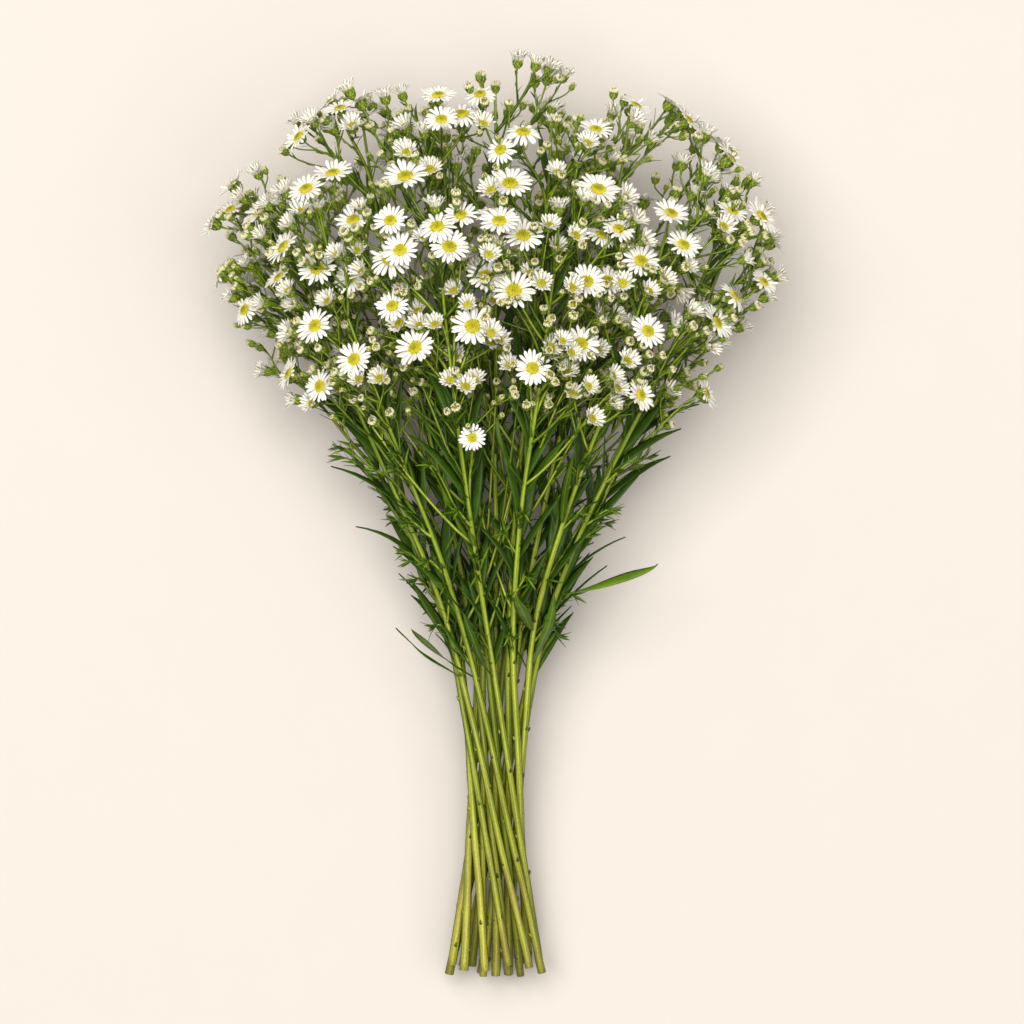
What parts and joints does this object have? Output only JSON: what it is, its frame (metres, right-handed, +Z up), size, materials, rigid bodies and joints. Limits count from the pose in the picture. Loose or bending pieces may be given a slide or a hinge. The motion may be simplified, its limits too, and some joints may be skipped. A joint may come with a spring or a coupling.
{
  "type": "cut aster",
  "caption": "Bunch of small white asters with golden centres on thin branching green stems, cut square at the foot and lying on its side.",
  "frame": {"origin": "on the surface the bunch lies on, under the middle of its bounding box", "axes": "+Y from the cut stem ends to the flowers, +X across the bunch to its right seen from above, +Z up from the surface"},
  "size_m": [0.305, 0.504, 0.1919],
  "materials": {
    "stem": "smooth green stem with buds",
    "leaf": "matte green leaf",
    "flower": "soft white rays round a golden disc"
  },
  "bodies": {
    "root": {"flower_01": "flower", "flower_02": "flower", "flower_03": "flower", "flower_04": "flower", "flower_05": "flower", "flower_06": "flower", "flower_07": "flower", "flower_08": "flower", "flower_09": "flower", "flower_10": "flower", "flower_11": "flower", "flower_12": "flower", "flower_13": "flower", "flower_14": "flower", "flower_15": "flower", "flower_16": "flower", "flower_17": "flower", "flower_18": "flower", "flower_19": "flower", "flower_20": "flower", "flower_21": "flower", "flower_22": "flower", "flower_23": "flower", "flower_24": "flower", "flower_25": "flower", "flower_26": "flower", "flower_27": "flower", "flower_28": "flower", "flower_29": "flower", "leaf_01": "leaf", "leaf_02": "leaf", "leaf_03": "leaf", "leaf_04": "leaf", "leaf_05": "leaf", "leaf_06": "leaf", "leaf_07": "leaf", "leaf_08": "leaf", "leaf_09": "leaf", "leaf_10": "leaf", "leaf_11": "leaf", "leaf_12": "leaf", "stem_01": "stem", "stem_02": "stem", "stem_03": "stem", "stem_04": "stem", "stem_05": "stem", "stem_06": "stem", "stem_07": "stem", "stem_08": "stem", "stem_09": "stem", "stem_10": "stem", "stem_11": "stem", "stem_12": "stem", "stem_13": "stem", "stem_14": "stem", "stem_15": "stem", "stem_16": "stem", "stem_17": "stem", "stem_18": "stem", "stem_19": "stem"}
  },
  "joints": []
}
